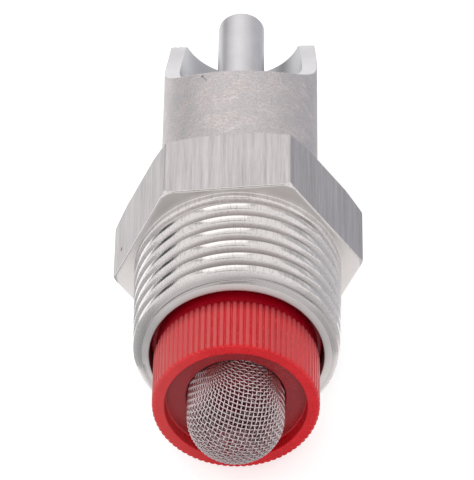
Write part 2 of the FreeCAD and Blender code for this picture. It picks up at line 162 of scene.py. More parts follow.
def housing_rows(angles):
    """Rows from the thread's relief round the outside, the mouth and the bores to the end ring."""
    one = np.ones_like(angles)
    side = hex_radius(angles)
    near, far = np.minimum(side, HEX_NEAR_EDGE), np.minimum(side, HEX_FAR_EDGE)
    near_y = np.maximum((side - HEX_NEAR_EDGE) * CHAMFER_SLOPE, 0) + NEAR_BREAK
    far_y = HEX_LENGTH - np.maximum((side - HEX_FAR_EDGE) * CHAMFER_SLOPE, 0) - FAR_BREAK
    lip = mouth_angles(len(angles))
    lip = lip + (angles[0] - lip[0])
    stations = [
        (angles, RELIEF_Y * one, RELIEF_RADIUS * one, 0, "turned"),
        (angles, RING_END * one - 0.22, RELIEF_RADIUS * one, 0.12, "turned"),
        (angles, RING_END * one, RING_RADIUS * one, 0.16, "turned"),
        (angles, 0 * one, RING_RADIUS * one, 0.1, "faced"),
        (angles, 0 * one, near - NEAR_BREAK, 0.1, "turned"),
        (angles, near_y, side, 0.1, "drawn"),
    ]
    for share in (0.25, 0.5, 0.75):
        stations.append((angles, near_y + (far_y - near_y) * share, side, 0, "drawn"))
    stations += [
        (angles, far_y, side, 0.1, "turned"),
        (angles, HEX_LENGTH * one, far - FAR_BREAK, 0.1, "faced"),
        (angles, HEX_LENGTH * one, BARREL_RADIUS * one, 0.15, "barrel"),
    ]
    # along the barrel the columns slide from the corners of the hexagon to even steps round the mouth
    for share in (0.06, 0.12, 0.2, 0.3, 0.4, 0.5, 0.6, 0.7, 0.8, 0.9, 0.96):
        mix = angles + (lip - angles) * share
        end = mouth_y(mix, BARREL_RADIUS)
        stations.append((mix, HEX_LENGTH + (end - HEX_LENGTH) * share, BARREL_RADIUS * one, 0, "barrel"))
    stations.append((lip, mouth_y(lip, BARREL_RADIUS), BARREL_RADIUS * one, 0.14, "milled"))
    for radius in LIP_RADII:
        stations.append((lip, mouth_y(lip, radius), radius * one, 0, "milled"))
    stations.append((lip, mouth_y(lip, MOUTH_RADIUS), MOUTH_RADIUS * one, 0.1, "bored"))
    for share in (0.05, 0.12, 0.22, 0.35, 0.5, 0.65, 0.8, 0.92):
        mix = lip + (angles - lip) * share
        start = mouth_y(mix, MOUTH_RADIUS)
        stations.append((mix, start + (WEB_Y - start) * share, MOUTH_RADIUS * one, 0, "bored"))
    for y, radius, rounding in (
        (WEB_Y, MOUTH_RADIUS, 0.15), (WEB_Y, SEAT_HOLE, 0.12), (SEAT_Y, SEAT_HOLE, 0.1),
        (SEAT_Y, CHAMBER_RADIUS, 0.1), (SHOULDER_Y, CHAMBER_RADIUS, 0.12), (SHOULDER_Y, INLET_RADIUS, 0.1),
        (END_Y + 0.15, INLET_RADIUS, 0.04), (END_Y, INLET_RADIUS + 0.1, 0.1),
    ):
        stations.append((angles, y * one, radius * one, rounding, "bored" if y > END_Y else "end"))
    stations.append((angles, (END_Y + END_LEAN) * one, (THREAD_RADIUS - END_CHAMFER) * one, 0, "end"))
    return bevelled(stations)


def thread_columns(angles):
    """For each column, the rows of the helix that lie between the end face and the relief."""
    form = thread_form()
    columns = []
    for angle in angles:
        column = {}
        for row in range(-8 * len(form), 2 * len(form)):
            share, radius = form[row % len(form)]
            y = FIRST_CREST + THREAD_PITCH * (row // len(form) + share + angle / math.tau)
            if END_Y + END_LEAN + THREAD_GAP < y < RELIEF_Y - THREAD_GAP:
                radius -= THREAD_TAPER * (RELIEF_Y - y)
                end_cone = THREAD_RADIUS - END_CHAMFER + (y - END_Y - END_LEAN)
                relief_cone = RELIEF_RADIUS + (RELIEF_Y - y) * RELIEF_SLOPE
                column[row] = (y, min(radius, end_cone, relief_cone))
        columns.append(column)
    return columns


def housing_mesh():
    """The housing's points, faces and finish of each face, closed all round."""
    angles = hex_angles()
    count = len(angles)
    rows = housing_rows(angles)
    points, faces, finishes = [], [], []
    for angle, y, radius, _ in rows:
        points += list(zip(radius * np.sin(angle), y, radius * np.cos(angle)))
    for k in range(len(rows) - 1):
        for i in range(count):
            after = (i + 1) % count
            faces.append((k * count + i, k * count + after, (k + 1) * count + after, (k + 1) * count + i))
            finishes.append(rows[k][3])
    columns = thread_columns(angles)
    places = []
    for angle, column in zip(angles, columns):
        place = {}
        for row, (y, radius) in column.items():
            place[row] = len(points)
            points.append((radius * math.sin(angle), y, radius * math.cos(angle)))
        places.append(place)
    places.append({row - len(thread_form()): place for row, place in places[0].items()})
    end_row = (len(rows) - 1) * count
    for i in range(count):
        here, after = places[i], places[i + 1]
        low, high = max(min(here), min(after)), min(max(here), max(after))
        for row in range(low, high):
            faces.append((here[row], after[row], after[row + 1], here[row + 1]))
        near_end = [end_row + i, end_row + (i + 1) % count]
        near_end += [after[row] for row in range(min(after), low + 1)]
        near_end += [here[row] for row in range(low, min(here) - 1, -1)]
        near_relief = [here[row] for row in range(max(here), high - 1, -1)]
        near_relief += [after[row] for row in range(high, max(after) + 1)]
        near_relief += [(i + 1) % count, i]
        faces += [tuple(near_end), tuple(near_relief)]
    finishes += ["turned"] * (len(faces) - len(finishes))
    return points, faces, finishes


def solid(name, points, faces, finishes, materials):
    """A smooth mesh object from points in mm, with a material for each finish."""
    mesh = bpy.data.meshes.new(name)
    mesh.from_pydata([tuple(float(v) * MM for v in point) for point in points], [], faces)
    names = list(materials)
    for finish in names:
        mesh.materials.append(materials[finish])
    mesh.polygons.foreach_set("material_index", [names.index(finish) for finish in finishes])
    mesh.polygons.foreach_set("use_smooth", [True] * len(faces))
    mesh.update()
    mesh.validate()
    obj = bpy.data.objects.new(name, mesh)
    bpy.context.scene.collection.objects.link(obj)
    return obj


class Shader:
    """A material's nodes, written as short lines: each call adds one node and returns its output."""

    def __init__(self, name, **sockets):
        self.material = bpy.data.materials.new(name)
        self.material.use_nodes = True
        self.tree = self.material.node_tree
        self.surface = self.tree.nodes["Principled BSDF"]
        for socket, value in sockets.items():
            self.surface.inputs[socket.replace("_", " ")].default_value = value

    def add(self, kind, inputs=None, output=0, **settings):
        made = self.tree.nodes.new("ShaderNode" + kind)
        for setting, value in settings.items():
            setattr(made, setting, value)
        for socket, value in (inputs or {}).items():
            self.put(made.inputs[socket], value)
        return made.outputs[output]

    def put(self, socket, value):
        if isinstance(value, bpy.types.NodeSocket):
            self.tree.links.new(value, socket)
        else:
            socket.default_value = value

    def place(self):
        return self.add("TexCoord", output="Object")

    def sheared(self, across, along, up):
        """Object coordinates stretched by three factors, in 1 / mm."""
        scale = (across * 1000, along * 1000, up * 1000)
        return self.add("Mapping", {"Vector": self.place(), "Scale": scale})

    def noise(self, vector, detail=4.0, roughness=0.55, scale=1.0):
        return self.add("TexNoise", {
            "Vector": vector, "Scale": scale, "Detail": detail, "Roughness": roughness}, output=0)

    def radius(self):
        """Distance from the axis and place along it, both in metres, as a vector for turning marks."""
        parts = self.add("SeparateXYZ", {0: self.place()}, output="X").node
        flat = self.add("CombineXYZ", {"X": parts.outputs["X"], "Z": parts.outputs["Z"]})
        length = self.add("VectorMath", {0: flat}, output="Value", operation="LENGTH")
        return self.add("CombineXYZ", {"X": length, "Y": parts.outputs["Y"]})

    def near(self, points, reach):
        """1 close to any of the points, given in mm, and 0 beyond that reach."""
        share = 0.0
        for point in points:
            away = self.add("VectorMath", {0: self.place(), 1: [v * MM for v in point]}, output="Value",
                            operation="DISTANCE")
            share = self.math("MAXIMUM", share, self.span(away, reach * MM * 0.5, reach * MM, 1, 0))
        return share

    def math(self, operation, *values):
        return self.add("Math", dict(enumerate(values)), operation=operation)

    def span(self, value, low, high, start, end):
        """Start where the value is at low or less, end where it is at high or more, even between."""
        limits = {"From Min": low, "From Max": high, "To Min": start, "To Max": end}
        return self.add("MapRange", {"Value": value, **limits}, output="Result")

    def blend(self, share, first, second):
        """Mixes two colours by a share from 0 to 1."""
        mix = self.add("Mix", output=2, data_type="RGBA").node
        self.put(mix.inputs[0], share)
        self.put(mix.inputs[6], first)
        self.put(mix.inputs[7], second)
        return mix.outputs[2]

    def bump(self, height, strength, distance_mm, normal=None):
        inputs = {"Height": height, "Strength": strength, "Distance": distance_mm * MM}
        if normal is not None:
            inputs["Normal"] = normal
        return self.add("Bump", inputs)

    def finish(self, **sockets):
        for socket, value in sockets.items():
            self.put(self.surface.inputs[socket.replace("_", " ")], value)
        return self.material


def tinted(colour, level=1.0):
    """The colour at that level, as four numbers."""
    return (*[min(c * level, 1) for c in colour], 1)


def turned_steel(name, colour, roughness, marks, roots=None):
    """Stainless steel off the lathe: fine rings round the axis and faint stains.

    roots holds two radii in mm, between which the steel turns from dull, with painted shade in the thread
    roots, to bright.
    """
    steel = Shader(name, Metallic=1.0)
    rings_place = steel.add("VectorMath", {0: steel.radius(), 1: (14000, 14000, 1)}, operation="MULTIPLY")
    rings = steel.noise(rings_place, 3, 0.6)
    stains = steel.noise(steel.sheared(0.35, 0.35, 0.35), 5, 0.6)
    grit = steel.noise(steel.sheared(9, 9, 9), 2)
    tone = steel.span(stains, 0.3, 0.7, 0.0, 1.0)
    base = steel.blend(tone, tinted(colour, 0.93), tinted(colour, 1.04))
    rough = steel.math("ADD", steel.span(rings, 0.3, 0.7, roughness * 0.8, roughness * 1.2),
                       steel.span(stains, 0.3, 0.7, -0.03, 0.04))
    marks_below = None
    if roots:
        height = steel.add("SeparateXYZ", {0: steel.radius()}, output="X")
        # painted shade: the steel is darker towards the thread roots, and rougher there too
        root_shade = steel.span(height, roots[0] * MM, roots[1] * MM, 0.65, 0)
        base = steel.blend(root_shade, base, tinted(colour, 0.45))
        rough = steel.math("ADD", rough, steel.math("MULTIPLY", root_shade, 0.2))
        hatch = steel.noise(steel.sheared(5, 0.5, 5), 3, 0.65)
        base = steel.blend(steel.span(hatch, 0.36, 0.5, 0.45, 0), base, tinted(colour, 0.6))
        marks_below = steel.bump(hatch, 0.3, 0.02)
    relief = steel.bump(rings, marks, 0.012, marks_below)
    relief = steel.bump(grit, marks * 0.4, 0.01, relief)
    return steel.finish(Base_Color=base, Roughness=rough, Normal=relief)


def drawn_steel(name, colour, roughness):
    """Bar stock as it was drawn: fine lines along the axis, a few darker scores, and one nick in a flat."""
    steel = Shader(name, Metallic=1.0)
    lines = steel.noise(steel.sheared(14, 0.25, 14), 3, 0.7)
    scores = steel.noise(steel.sheared(2.4, 0.06, 2.4), 3, 0.6)
    bloom = steel.noise(steel.sheared(0.5, 0.35, 0.5), 3, 0.5)
    specks = steel.noise(steel.sheared(13, 9, 13), 2, 0.5)
    tone = steel.span(lines, 0.32, 0.68, 0.0, 0.6)
    tone = steel.math("ADD", tone, steel.span(scores, 0.32, 0.68, -0.15, 0.45))
    tone = steel.math("ADD", tone, steel.span(specks, 0.6, 0.72, 0.0, 0.6))
    base = steel.blend(tone, tinted(colour, 0.74), tinted(colour, 1.2))
    base = steel.blend(steel.near(NICK, 0.22), base, (0.06, 0.05, 0.05, 1))
    rough = steel.span(bloom, 0.3, 0.7, roughness * 0.95, roughness * 1.05)
    relief = steel.bump(lines, 0.35, 0.012)
    return steel.finish(Base_Color=base, Roughness=rough, Normal=relief)


def barrel_steel(name, colour, roughness):
    """Blasted barrel: matte, fine grain, warm and cool patches, short turning marks painted brighter as wear
    and as highlight, a pit and a scratch.
    """
    steel = Shader(name, Metallic=1.0)
    marks_place = steel.add("VectorMath", {0: steel.place(), 1: (900, 6500, 900)}, operation="MULTIPLY")
    marks = steel.noise(marks_place, 3, 0.65)
    mottle = steel.noise(steel.sheared(0.55, 0.45, 0.55), 3, 0.6)
    grain = steel.noise(steel.sheared(5.5, 5.5, 5.5), 4, 0.7)
    warm = (colour[0] * 1.04, colour[1] * 0.98, colour[2] * 0.97, 1)
    cool = (colour[0] * 0.95, colour[1] * 0.95, colour[2] * 0.97, 1)
    base = steel.blend(steel.span(mottle, 0.35, 0.65, 0, 1), cool, warm)
    # brighter streaks along the turning marks: partly wear, partly painted highlight
    worn_and_sheen = steel.span(marks, 0.48, 0.66, 0, 0.9)
    worn_and_sheen = steel.math("MULTIPLY", worn_and_sheen, steel.span(mottle, 0.42, 0.6, 0.1, 1))
    base = steel.blend(worn_and_sheen, base, tinted(colour, 1.25))
    base = steel.blend(steel.span(grain, 0.34, 0.6, 0.6, 0), base, tinted(colour, 0.6))
    base = steel.blend(steel.near(PIT, 0.16), base, (0.1, 0.09, 0.09, 1))
    base = steel.blend(steel.math("MULTIPLY", steel.near(SCRATCH, 0.12), 0.6), base, (0.2, 0.18, 0.18, 1))
    rough = steel.span(grain, 0.3, 0.7, roughness * 1.1, roughness * 0.9)
    relief = steel.bump(marks, 0.1, 0.015)
    relief = steel.bump(grain, 0.6, 0.02, relief)
    return steel.finish(Base_Color=base, Roughness=rough, Normal=relief)


housing = solid("drinker_housing", *housing_mesh(), materials={
    "turned": turned_steel("thread_steel", (0.75, 0.71, 0.7), 0.14, 0.3, roots=(9.65, 10.25)),
    "faced": turned_steel("faced_steel", (0.76, 0.735, 0.72), 0.4, 0.35),
    "end": turned_steel("end_ring_steel", (0.64, 0.62, 0.61), 0.46, 0.45),
    "drawn": drawn_steel("drawn_bar_steel", (0.53, 0.496, 0.5), 0.42),
    "barrel": barrel_steel("blasted_steel", (0.665, 0.635, 0.635), 0.58),
    "milled": turned_steel("milled_steel", (0.68, 0.665, 0.68), 0.4, 0.15),
    "bored": turned_steel("bored_steel", (0.5, 0.495, 0.515), 0.38, 0.2),
})
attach(housing, "drinker")
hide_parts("housing")


# Nipple pin
# The rod that the animal bites, turned from stainless bar in one piece with the flat head that closes the
# valve. It stands loose in the mouth and is held by the seal and the spring.
PIN_RADIUS, PIN_END, PIN_CHAMFER = 2.45, 39.05, 0.25
HEAD_RADIUS, HEAD_BACK, HEAD_FRONT, HEAD_CHAMFER = 5.2, -0.5, 2.0, 0.4
BOSS_RADIUS, BOSS_BACK = 2.55, -1.4


def lathe(name, profile, material, count=128):
    """A closed turned piece: profile holds (y, radius, rounding), from axis to axis or round a ring."""
    angles = np.arange(count) / count * math.tau
    one = np.ones(count)
    ring = profile[0][1] > 0
    stations = [(angles, y * one, radius * one, rounding, "all") for y, radius, rounding in profile]
    if ring:
        rows = bevelled([stations[-1], *stations, stations[0]])[1:-1]
    else:
        rows = bevelled(stations)[1:-1]
    points, faces = [], []
    for angle, y, radius, _ in rows:
        points += list(zip(radius * np.sin(angle), y, radius * np.cos(angle)))
    for k in range(len(rows) if ring else len(rows) - 1):
        low, high = k * count, (k + 1) % len(rows) * count
        faces += [(low + i, low + (i + 1) % count, high + (i + 1) % count, high + i) for i in range(count)]
    if not ring:
        for y, row, turned in ((profile[0][0], 0, False), (profile[-1][0], len(rows) - 1, True)):
            centre = len(points)
            points.append((0, y, 0))
            for i in range(count):
                face = (row * count + (i + 1) % count, row * count + i, centre)
                faces.append(face[::-1] if turned else face)
    return solid(name, points, faces, ["all"] * len(faces), {"all": material})


pin = lathe("bite_pin", [
    (BOSS_BACK, 0, 0), (BOSS_BACK, BOSS_RADIUS - 0.25, 0.1), (BOSS_BACK + 0.3, BOSS_RADIUS, 0.1),
    (HEAD_BACK, BOSS_RADIUS, 0.1), (HEAD_BACK, HEAD_RADIUS - HEAD_CHAMFER, 0.1),
    (HEAD_BACK + HEAD_CHAMFER, HEAD_RADIUS, 0.1), (HEAD_FRONT, HEAD_RADIUS, 0.15),
    (HEAD_FRONT, PIN_RADIUS, 0.1), (12.0, PIN_RADIUS, 0), (24.0, PIN_RADIUS, 0),
    (PIN_END - PIN_CHAMFER, PIN_RADIUS, 0.12), (PIN_END, PIN_RADIUS - PIN_CHAMFER, 0.12), (PIN_END, 0, 0),
], turned_steel("pin_steel_satin", (0.65, 0.63, 0.65), 0.42, 0.06))
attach(pin, "pin")
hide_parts("nipple_pin")


# Seat seal
# Moulded black rubber ring on the pin's stem. The head presses it against the seat, and it is squeezed when
# the pin is bitten to one side.
SEAL_BORE, SEAL_RADIUS, SEAL_CHAMFER = 2.5, 5.6, 0.3


def moulded_rubber(name):
    """Dull black rubber with a fine moulded skin and dusty patches."""
    rubber = Shader(name, Specular_IOR_Level=0.35)
    dust = rubber.noise(rubber.sheared(0.6, 0.6, 0.6), 5, 0.6)
    skin = rubber.noise(rubber.sheared(8, 8, 8), 3)
    base = rubber.blend(rubber.span(dust, 0.35, 0.7, 0, 1), (0.014, 0.014, 0.015, 1), (0.032, 0.031, 0.03, 1))
    rough = rubber.span(dust, 0.3, 0.7, 0.5, 0.68)
    return rubber.finish(Base_Color=base, Roughness=rough, Normal=rubber.bump(skin, 0.25, 0.02))


seal = lathe("rubber_seal", [
    (HEAD_FRONT, SEAL_BORE, 0.1), (HEAD_FRONT, SEAL_RADIUS - SEAL_CHAMFER, 0.1),
    (HEAD_FRONT + SEAL_CHAMFER, SEAL_RADIUS, 0.1), (SEAT_Y - SEAL_CHAMFER, SEAL_RADIUS, 0.1),
    (SEAT_Y, SEAL_RADIUS - SEAL_CHAMFER, 0.1), (SEAT_Y, SEAL_BORE, 0.1),
], moulded_rubber("seal_rubber_black"), 96)
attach(seal, "seal")
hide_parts("seat_seal")


# Closing spring
# Stainless spring wire, wound with closed ends that lie flat on the flow disc and on the pin's head. It
# pushes the head back on the seat. The end coil on the head is its own object, because it tilts with the pin.
SPRING_RADIUS, WIRE_RADIUS, SPRING_TURNS, FLAT_TURNS = 3.6, 0.35, 3.25, 0.75
SPRING_LOW, SPRING_HIGH = -10.15, -0.9


class Recipe:
    """A Geometry Nodes tree written as short lines, with named inputs for its sizes."""

    def __init__(self, name, inputs):
        self.tree = bpy.data.node_groups.new(name, "GeometryNodeTree")
        self.tree.interface.new_socket("Geometry", in_out="INPUT", socket_type="NodeSocketGeometry")
        self.sockets = {}
        for label, value in inputs.items():
            kind = "NodeSocketInt" if isinstance(value, int) else "NodeSocketFloat"
            self.sockets[label] = self.tree.interface.new_socket(label, in_out="INPUT", socket_type=kind)
            self.sockets[label].default_value = value
        self.tree.interface.new_socket("Geometry", in_out="OUTPUT", socket_type="NodeSocketGeometry")
        self.entry = self.tree.nodes.new("NodeGroupInput")
        self.exit = self.tree.nodes.new("NodeGroupOutput")

    def add(self, kind, inputs=None, output=0, **settings):
        made = self.tree.nodes.new(kind)
        for setting, value in settings.items():
            setattr(made, setting, value)
        for socket, value in (inputs or {}).items():
            if isinstance(value, bpy.types.NodeSocket):
                self.tree.links.new(value, made.inputs[socket])
            else:
                made.inputs[socket].default_value = value
        return made.outputs[output]

    def math(self, operation, *values):
        return self.add("ShaderNodeMath", dict(enumerate(values)), operation=operation)

    def end(self, geometry, material):
        """Closes the tree: instances made real, and the material set."""
        real = self.add("GeometryNodeRealizeInstances", {"Geometry": geometry})
        painted = self.add("GeometryNodeSetMaterial", {"Geometry": real, "Material": material})
        self.tree.links.new(painted, self.exit.inputs[0])

    def make(self, name, source, sizes):
        """Runs the tree on the source object and returns its result as a plain mesh object."""
        modifier = source.modifiers.new(self.tree.name, "NODES")
        modifier.node_group = self.tree
        for label, value in sizes.items():
            modifier[self.sockets[label].identifier] = value
        shape = source.evaluated_get(bpy.context.evaluated_depsgraph_get())
        mesh = bpy.data.meshes.new_from_object(shape)
        mesh.name = name
        source.modifiers.remove(modifier)
        old = source.data
        bpy.data.objects.remove(source)
        bpy.data.meshes.remove(old)
        obj = bpy.data.objects.new(name, mesh)
        bpy.context.scene.collection.objects.link(obj)
        return obj


def wire_recipe(name, material, sides):
    """Sweeps a round wire along every chain of edges."""
    recipe = Recipe(name, {"Wire Radius": 0.1 * MM})
    path = recipe.add("GeometryNodeMeshToCurve", {"Mesh": recipe.entry.outputs["Geometry"]})
    section = recipe.add("GeometryNodeCurvePrimitiveCircle", {
        "Resolution": sides, "Radius": recipe.entry.outputs["Wire Radius"]})
    swept = recipe.add("GeometryNodeCurveToMesh", {
        "Curve": path, "Profile Curve": section, "Fill Caps": True})
    smooth = recipe.add("GeometryNodeSetShadeSmooth", {"Geometry": swept})
    recipe.end(smooth, material)
    return recipe


def chains(name, lines):
    """An object of bare edges: each line is a list of points in mm."""
    points, edges = [], []
    for line in lines:
        edges += [(len(points) + k, len(points) + k + 1) for k in range(len(line) - 1)]
        points += [tuple(float(v) * MM for v in point) for point in line]
    mesh = bpy.data.meshes.new(name)
    mesh.from_pydata(points, edges, [])
    obj = bpy.data.objects.new(name, mesh)
    bpy.context.scene.collection.objects.link(obj)
    return obj


def spring_line():
    """The wire's middle line in two parts: flat coil and even rise, then the flat coil on the head."""
    turns = np.linspace(0, SPRING_TURNS + 2 * FLAT_TURNS, 361)
    share = np.clip((turns - FLAT_TURNS) / SPRING_TURNS, 0, 1)
    share = share + 0.02 * np.sin(share * math.tau)
    angle = turns * math.tau
    y = SPRING_LOW + (SPRING_HIGH - SPRING_LOW) * share
    line = np.stack([SPRING_RADIUS * np.cos(angle), y, SPRING_RADIUS * np.sin(angle)], 1)
    end = int(np.searchsorted(turns, SPRING_TURNS + FLAT_TURNS))
    return line[:end + 1], line[end:]


def wire_steel(name, colour, roughness):
    """Drawn stainless wire: bright, with fine draw lines and dull spots."""
    steel = Shader(name, Metallic=1.0)
    spots = steel.noise(steel.sheared(2.2, 2.2, 2.2), 4, 0.6)
    lines = steel.noise(steel.sheared(12, 12, 12), 3)
    base = steel.blend(steel.span(spots, 0.3, 0.7, 0, 1), tinted(colour, 0.8), tinted(colour))
    rough = steel.span(spots, 0.3, 0.7, roughness * 1.2, roughness * 0.85)
    return steel.finish(Base_Color=base, Roughness=rough, Normal=steel.bump(lines, 0.15, 0.01))


spring_recipe = wire_recipe("wound_wire", wire_steel("spring_wire_steel", (0.6, 0.6, 0.6), 0.22), 16)
spring_wire = {"Wire Radius": WIRE_RADIUS * MM}
rising, resting = spring_line()
spring = spring_recipe.make("coil_spring", chains("spring_path", [rising]), spring_wire)
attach(spring, "spring")
end_coil = spring_recipe.make("spring_end_coil", chains("end_path", [resting]), spring_wire)
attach(end_coil, "pin")
for piece in (spring, end_coil):
    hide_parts("closing_spring")
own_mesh(spring)


# Flow disc
# Moulded plastic disc with three flow holes. It sits in the plug's pocket, holds the strainer's flange down
# and carries the spring. It keeps its solid from the frame.
def moulded_plastic(name, colour, dark):
    """Plain moulded plastic: slight flow marks and a fine tool texture."""
    plastic = Shader(name, IOR=1.46)
    flow = plastic.noise(plastic.sheared(0.5, 0.2, 0.5), 4, 0.6)
    skin = plastic.noise(plastic.sheared(6, 6, 6), 3)
    base = plastic.blend(plastic.span(flow, 0.3, 0.7, 0, 1), tinted(dark), tinted(colour))
    rough = plastic.span(flow, 0.3, 0.7, 0.38, 0.5)
    return plastic.finish(Base_Color=base, Roughness=rough, Normal=plastic.bump(skin, 0.15, 0.02))


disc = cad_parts["flow_disc"]
disc.material_slots[0].material = moulded_plastic("disc_plastic_red", (0.5, 0.02, 0.03), (0.42, 0.014, 0.02))


# Filter plug
# Red moulded plug. Its plain collar is pushed into the inlet, its ribbed grip stands out of the thread, and
# the cup in its end guards the strainer.
RIM_Y, RIM_RADIUS = -20.12, 8.06
RIB_RADIUS, RIB_ROOT, GRIP_START, GRIP_END, GRIP_LIMIT = 8.24, 8.02, -19.95, -13.75, -13.4
RIBS, PER_RIB, GROOVE_DEPTH, VALLEY_WIDTH = 80, 12, 0.2, 0.6
CUP_RADIUS, CUP_FLOOR, PLUG_BORE = 7.0, -18.7, 4.88
NECK_RADIUS, NECK_START, NECK_END = 7.97, -13.5, -11.2
COLLAR_RADIUS, COLLAR_FOOT, COLLAR_TOP, COLLAR_END, COLLAR_CHAMFER = 8.56, 8.38, 8.08, -6.0, 0.5
POCKET_RADIUS, POCKET_Y = 6.2, -13.0
ROOT_MARGIN = 0.05
RIB_SIZES = {"Ribs": RIBS, "Groove Depth": GROOVE_DEPTH * MM, "Valley Width": VALLEY_WIDTH}
# The third red is a paler pink painted on the rib crests as highlight. The two reds below are darker reds
# painted as shade, and the cup's red also has a mauve tint as painted reflection.
PLUG_RED, BRIGHT_RED, CREST_SHEEN_RED = (0.58, 0.002, 0.008), (0.7, 0.005, 0.014), (0.6, 0.065, 0.065)
NECK_SHADE_RED, CUP_SHADE_RED = (0.34, 0.001, 0.009), (0.17, 0.03, 0.036)


def red_plastic(name):
    """Glossy red plastic, a little translucent, with drag marks along the ribs and painted shade on the cup
    floor.

    The crests are painted paler as a highlight, most on the -X side, and are rougher there; the neck beside
    the thread is painted a deeper red as shade.
    """
    plastic = Shader(name, IOR=1.56, Subsurface_Weight=0.3, Subsurface_Scale=0.0009)
    plastic.surface.inputs["Subsurface Radius"].default_value = (1.0, 0.1, 0.1)
    flow = plastic.noise(plastic.sheared(0.4, 0.25, 0.4), 4, 0.6)
    drag = plastic.noise(plastic.sheared(5, 0.4, 5), 3)
    base = plastic.blend(plastic.span(flow, 0.3, 0.7, 0, 1), tinted(PLUG_RED), tinted(BRIGHT_RED))
    parts = plastic.add("SeparateXYZ", {0: plastic.radius()}).node
    out, along = parts.outputs["X"], parts.outputs["Y"]
    across = plastic.add("SeparateXYZ", {0: plastic.place()}, output="X")
    # painted highlight: the rib crests are painted paler pink, fading towards +X and spreading wider on the
    # -X side where the light falls; the same mask also makes them rougher
    crest = plastic.span(out, (RIB_RADIUS - 0.14) * MM, (RIB_RADIUS - 0.02) * MM, 0, 1)
    crest = plastic.math("MULTIPLY", plastic.span(across, -2 * MM, 6.5 * MM, 1, 0.15), crest)
    scuff_and_sheen = plastic.math("MAXIMUM", crest, plastic.span(across, -7 * MM, -1.5 * MM, 0.45, 0))
    base = plastic.blend(scuff_and_sheen, base, tinted(CREST_SHEEN_RED))
    # painted shade: from the top of the ribs inward, the plug is painted a deeper red where it sits in the
    # housing's end
    base = plastic.blend(plastic.span(along, -15.1 * MM, -13.7 * MM, 0, 1), base, tinted(NECK_SHADE_RED))
    # painted shade: the recessed cup floor is painted darker, and its mauve tint is a painted pale reflection
    cup_shade = plastic.math("MULTIPLY", plastic.span(out, CUP_RADIUS * MM, 6.8 * MM, 0, 1),
                          plastic.span(along, -18.95 * MM, -18.75 * MM, 0, 0.65))
    base = plastic.blend(cup_shade, base, tinted(CUP_SHADE_RED))
    rough = plastic.math("ADD", plastic.span(flow, 0.3, 0.7, 0.2, 0.3), plastic.span(drag, 0.3, 0.7, 0, 0.06))
    rough = plastic.math("ADD", rough, plastic.math("MULTIPLY", scuff_and_sheen, 0.22))
    return plastic.finish(Base_Color=base, Roughness=rough, Normal=plastic.bump(drag, 0.06, 0.012))


def plug_blank(material):
    """The plug without its ribs. The attribute grip is 1 on the wall that gets them."""
    count = RIBS * PER_RIB
    one = np.ones(count)
    angles = np.arange(count) / count * math.tau
    profile = [
        (CUP_FLOOR, CUP_RADIUS, 0.15), (RIM_Y, CUP_RADIUS, 0.14), (RIM_Y, RIM_RADIUS, 0.1),
        (GRIP_START, RIB_RADIUS, 0.1), *((y, RIB_RADIUS, 0) for y in (-18.5, -17.0, -15.5, -14.2)),
        (GRIP_END, RIB_RADIUS, 0.15), (NECK_START, NECK_RADIUS, 0.1), (NECK_END, NECK_RADIUS, 0.05),
        (NECK_END, COLLAR_FOOT, 0.08), (NECK_END + COLLAR_CHAMFER, COLLAR_RADIUS, 0.1),
        (COLLAR_END - COLLAR_CHAMFER, COLLAR_RADIUS, 0.1), (COLLAR_END, COLLAR_TOP, 0.1),
        (COLLAR_END, POCKET_RADIUS, 0.1), (POCKET_Y, POCKET_RADIUS, 0.05), (POCKET_Y, PLUG_BORE, 0.05),
        (CUP_FLOOR, PLUG_BORE, 0.12),
    ]
    stations = [(angles, y * one, radius * one, rounding, "all") for y, radius, rounding in profile]
    rows = bevelled([stations[-1], *stations, stations[0]])[1:-1]
    points, faces, grip = [], [], []
    for angle, y, radius, _ in rows:
        points += list(zip(radius * np.sin(angle), y, radius * np.cos(angle)))
        inside = y[0] < GRIP_LIMIT and radius[0] > RIB_ROOT - ROOT_MARGIN
        share = min(1.0, (radius[0] - RIB_ROOT + ROOT_MARGIN) / (RIB_RADIUS - RIB_ROOT))
        grip += [float(inside) * share] * count
    for k in range(len(rows)):
        low, high = k * count, (k + 1) % len(rows) * count
        faces += [(low + i, low + (i + 1) % count, high + (i + 1) % count, high + i) for i in range(count)]
    blank = solid("plug_blank", points, faces, ["all"] * len(faces), {"all": material})
    blank.data.attributes.new("grip", "FLOAT", "POINT").data.foreach_set("value", grip)
    return blank


